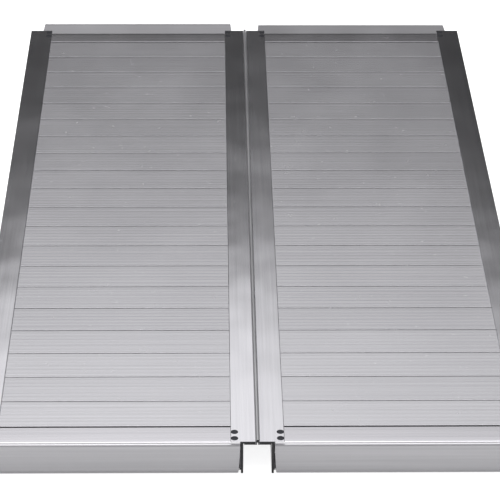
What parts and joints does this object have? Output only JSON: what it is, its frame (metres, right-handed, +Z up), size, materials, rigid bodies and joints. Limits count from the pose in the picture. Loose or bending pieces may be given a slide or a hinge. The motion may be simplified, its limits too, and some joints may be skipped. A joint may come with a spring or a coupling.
{
  "type": "folding wheelchair ramp",
  "caption": "Portable ramp of two long plank-decked panels joined by a centre hinge, with a hinged flap at every panel end and a drop handle on each outer rail.",
  "frame": {"origin": "centre of the outline at floor level, under the middle of the centre hinge's width", "axes": "+X across the ramp towards the right panel, +Y along the ramp from the lower to the upper end, +Z up"},
  "size_m": [0.73, 1.2584, 0.0546],
  "materials": {
    "frame": "smooth extruded aluminium, lightly reflective",
    "deck_plank": "extruded aluminium with fine ribs across the ramp",
    "flap": "plain aluminium plate, satin",
    "hinge": "satin extruded hinge leaf",
    "pin": "plain steel rod",
    "handle_base": "black powder coat",
    "handle_bail": "black moulded plastic"
  },
  "bodies": {
    "left_panel": {"plank_left_01": "deck_plank", "plank_left_02": "deck_plank", "plank_left_03": "deck_plank", "plank_left_04": "deck_plank", "plank_left_05": "deck_plank", "plank_left_06": "deck_plank", "plank_left_07": "deck_plank", "plank_left_08": "deck_plank", "plank_left_09": "deck_plank", "plank_left_10": "deck_plank", "plank_left_11": "deck_plank", "plank_left_12": "deck_plank", "plank_left_13": "deck_plank", "plank_left_14": "deck_plank", "plank_left_15": "deck_plank", "plank_left_16": "deck_plank", "plank_left_17": "deck_plank", "plank_left_18": "deck_plank", "plank_left_19": "deck_plank", "plank_left_20": "deck_plank", "end_beam_lower_left": "frame", "end_beam_upper_left": "frame", "rail_outer_left": "frame", "rail_inner_left": "frame", "hinge_leaf_left": "hinge", "handle_base_left": "handle_base", "hinge_pin": "pin"},
    "lower_flap_left": {"flap_lower_left": "flap"},
    "upper_flap_left": {"flap_upper_left": "flap"},
    "handle_left": {"handle_bail_left": "handle_bail"},
    "right_panel": {"plank_right_01": "deck_plank", "plank_right_02": "deck_plank", "plank_right_03": "deck_plank", "plank_right_04": "deck_plank", "plank_right_05": "deck_plank", "plank_right_06": "deck_plank", "plank_right_07": "deck_plank", "plank_right_08": "deck_plank", "plank_right_09": "deck_plank", "plank_right_10": "deck_plank", "plank_right_11": "deck_plank", "plank_right_12": "deck_plank", "plank_right_13": "deck_plank", "plank_right_14": "deck_plank", "plank_right_15": "deck_plank", "plank_right_16": "deck_plank", "plank_right_17": "deck_plank", "plank_right_18": "deck_plank", "plank_right_19": "deck_plank", "plank_right_20": "deck_plank", "end_beam_lower_right": "frame", "end_beam_upper_right": "frame", "rail_outer_right": "frame", "rail_inner_right": "frame", "hinge_leaf_right": "hinge", "handle_base_right": "handle_base"},
    "lower_flap_right": {"flap_lower_right": "flap"},
    "upper_flap_right": {"flap_upper_right": "flap"},
    "handle_right": {"handle_bail_right": "handle_bail"}
  },
  "joints": [
    {"name": "panel_fold", "type": "hinge", "parent": "left_panel", "child": "right_panel", "pos_m": [0, -0.01773, 0.0524], "axis": [0, -1, 0], "range_deg": [0, 180]},
    {"name": "lower_flap_hinge_left", "type": "hinge", "parent": "left_panel", "child": "lower_flap_left", "pos_m": [-0.18375, -0.62373, 0.0428], "axis": [-1, 0, 0], "range_deg": [0, 95]},
    {"name": "upper_flap_hinge_left", "type": "hinge", "parent": "left_panel", "child": "upper_flap_left", "pos_m": [-0.18375, 0.58827, 0.0428], "axis": [1, 0, 0], "range_deg": [-94, 2]},
    {"name": "handle_swing_left", "type": "hinge", "parent": "left_panel", "child": "handle_left", "pos_m": [-0.359, -0.01773, 0.042], "axis": [0, 1, 0], "range_deg": [0, 90]},
    {"name": "lower_flap_hinge_right", "type": "hinge", "parent": "right_panel", "child": "lower_flap_right", "pos_m": [0.18375, -0.62373, 0.0428], "axis": [-1, 0, 0], "range_deg": [0, 95]},
    {"name": "upper_flap_hinge_right", "type": "hinge", "parent": "right_panel", "child": "upper_flap_right", "pos_m": [0.18375, 0.58827, 0.0428], "axis": [1, 0, 0], "range_deg": [-91, 5]},
    {"name": "handle_swing_right", "type": "hinge", "parent": "right_panel", "child": "handle_right", "pos_m": [0.359, -0.01773, 0.042], "axis": [0, -1, 0], "range_deg": [0, 90]}
  ]
}
